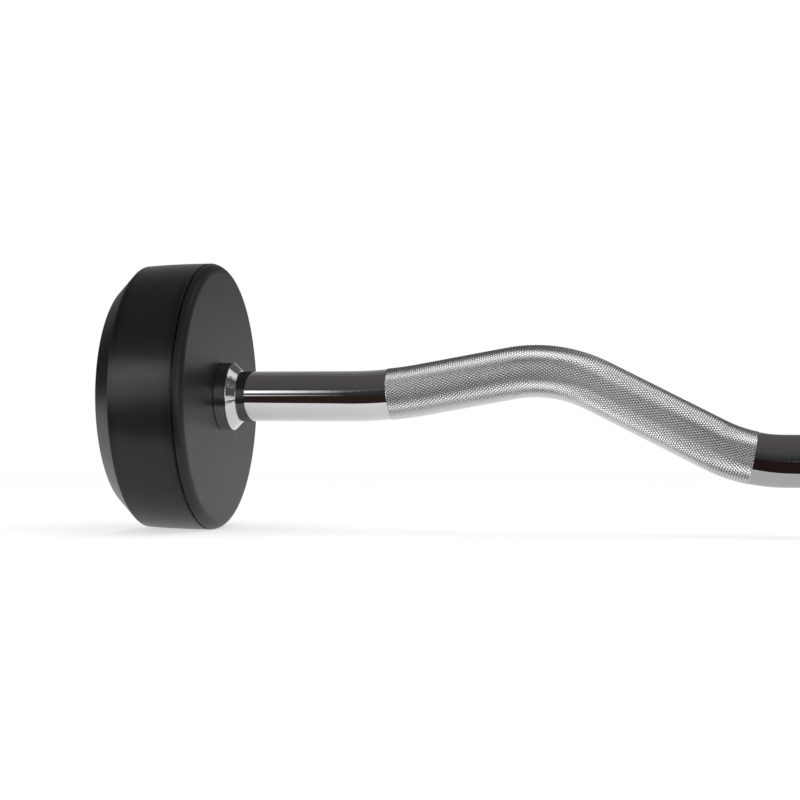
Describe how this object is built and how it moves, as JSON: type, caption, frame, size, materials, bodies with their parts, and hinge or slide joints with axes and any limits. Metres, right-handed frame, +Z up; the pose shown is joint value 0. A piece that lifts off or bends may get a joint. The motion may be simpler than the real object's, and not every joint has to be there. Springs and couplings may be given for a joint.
{
  "type": "ez curl bar",
  "caption": "Fixed-weight curl bar: a chromed bar bent to a shallow W with knurled grips, and a bevelled rubber-jacketed iron weight bolted against a collar at each end.",
  "frame": {"origin": "middle of the bar, on the common axis of the two weights", "axes": "+X along the bar, +Z up with the middle of the bar lowest, the bends in the XZ plane"},
  "size_m": [0.899, 0.16, 0.16],
  "materials": {
    "bar_chrome": "bright chrome plate, satin on the knurled grips",
    "jacket_rubber": "moulded black rubber, matt, with a fine mould line",
    "core_iron": "as cast, dark oxide",
    "pin_steel": "ground steel",
    "washer_zinc": "zinc plated",
    "bolt_black": "black oxide"
  },
  "bodies": {
    "root": {"curl_bar": "bar_chrome", "left_stop_collar": "bar_chrome", "left_upper_dowel_pin": "pin_steel", "left_lower_dowel_pin": "pin_steel", "left_iron_core": "core_iron", "left_rubber_jacket": "jacket_rubber", "left_clamp_washer": "washer_zinc", "left_spring_washer": "washer_zinc", "left_end_bolt": "bolt_black", "right_stop_collar": "bar_chrome", "right_upper_dowel_pin": "pin_steel", "right_lower_dowel_pin": "pin_steel", "right_iron_core": "core_iron", "right_rubber_jacket": "jacket_rubber", "right_clamp_washer": "washer_zinc", "right_spring_washer": "washer_zinc", "right_end_bolt": "bolt_black"}
  },
  "joints": []
}
